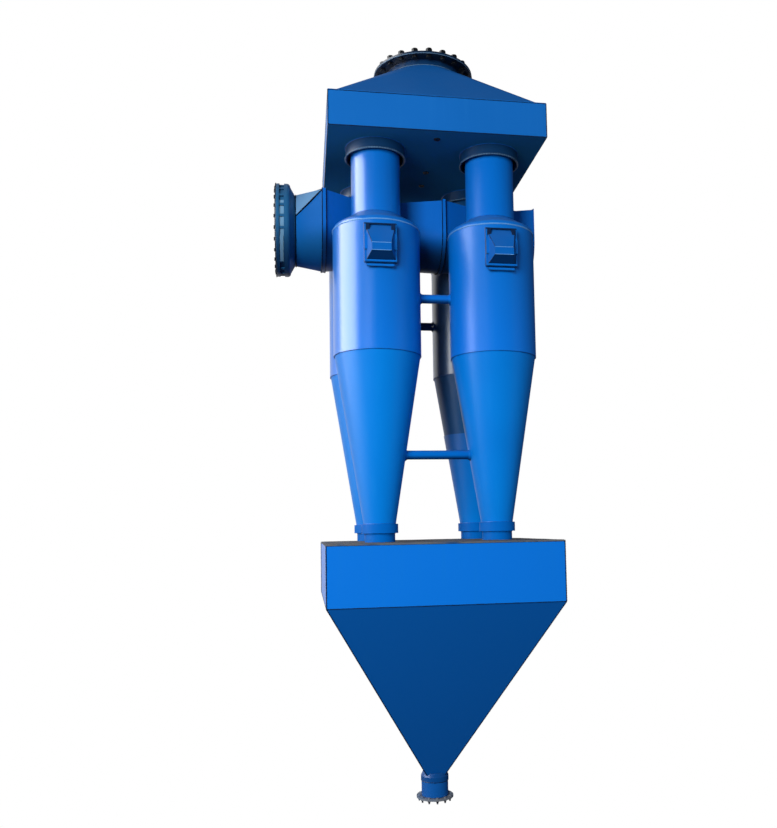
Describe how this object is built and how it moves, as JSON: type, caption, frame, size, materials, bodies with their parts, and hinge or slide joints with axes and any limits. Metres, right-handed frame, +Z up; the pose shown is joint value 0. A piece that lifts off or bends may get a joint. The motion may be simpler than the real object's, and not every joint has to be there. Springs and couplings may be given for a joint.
{
  "type": "cyclone dust separator",
  "caption": "Group of four cyclones hung between a square dust hopper and a square clean gas plenum, with a flanged side inlet and a round outlet on top.",
  "frame": {"origin": "centre of the dust outlet flange's lower face, on the outlet pipe's axis", "axes": "+Z up toward the clean gas outlet; -X toward the inlet flange; -Y is the front, with two hand hole covers"},
  "size_m": [1.9003, 1.6406, 5.383],
  "materials": {
    "blue_paint": "gloss",
    "dark_blue_paint": "satin",
    "bolt_steel": "dull",
    "dusty_plate": "matt"
  },
  "bodies": {
    "root": {"dust_outlet_flange": "dusty_plate", "dust_outlet_bolts": "bolt_steel", "dust_outlet_pipe": "dark_blue_paint", "dust_outlet_collar": "dark_blue_paint", "hopper_pyramid": "dark_blue_paint", "hopper_walls": "blue_paint", "hopper_cover": "dusty_plate", "dust_leg_front_left": "dark_blue_paint", "leg_collar_front_left": "blue_paint", "cone_front_left": "blue_paint", "barrel_front_left": "blue_paint", "roof_front_left": "blue_paint", "outlet_pipe_front_left": "blue_paint", "sleeve_collar_front_left": "dark_blue_paint", "hand_hole_cover_front_left": "blue_paint", "dust_leg_front_right": "dark_blue_paint", "leg_collar_front_right": "blue_paint", "cone_front_right": "blue_paint", "barrel_front_right": "blue_paint", "roof_front_right": "blue_paint", "outlet_pipe_front_right": "blue_paint", "sleeve_collar_front_right": "dark_blue_paint", "hand_hole_cover_front_right": "blue_paint", "dust_leg_back_left": "dark_blue_paint", "leg_collar_back_left": "blue_paint", "cone_back_left": "blue_paint", "barrel_back_left": "blue_paint", "roof_back_left": "blue_paint", "outlet_pipe_back_left": "blue_paint", "sleeve_collar_back_left": "dark_blue_paint", "hand_hole_cover_back_left": "blue_paint", "dust_leg_back_right": "dark_blue_paint", "leg_collar_back_right": "blue_paint", "cone_back_right": "blue_paint", "barrel_back_right": "blue_paint", "roof_back_right": "blue_paint", "outlet_pipe_back_right": "blue_paint", "sleeve_collar_back_right": "dark_blue_paint", "hand_hole_cover_back_right": "blue_paint", "header_upstream": "blue_paint", "header_downstream": "blue_paint", "seam_band_inlet": "blue_paint", "seam_band_middle": "blue_paint", "header_end_plate": "blue_paint", "plenum_floor": "dark_blue_paint", "plenum_walls": "blue_paint", "plenum_ledge": "blue_paint", "plenum_hood": "blue_paint", "outlet_neck": "blue_paint", "outlet_flange": "dark_blue_paint", "outlet_bolts": "bolt_steel", "inlet_flange": "dark_blue_paint", "inlet_spacer_ring": "blue_paint", "inlet_counter_flange": "dark_blue_paint", "inlet_bolts": "bolt_steel", "inlet_transition": "blue_paint", "upper_tie_front": "blue_paint", "upper_tie_back": "blue_paint", "lower_tie_front": "blue_paint", "cone_band_back_right": "blue_paint"}
  },
  "joints": []
}
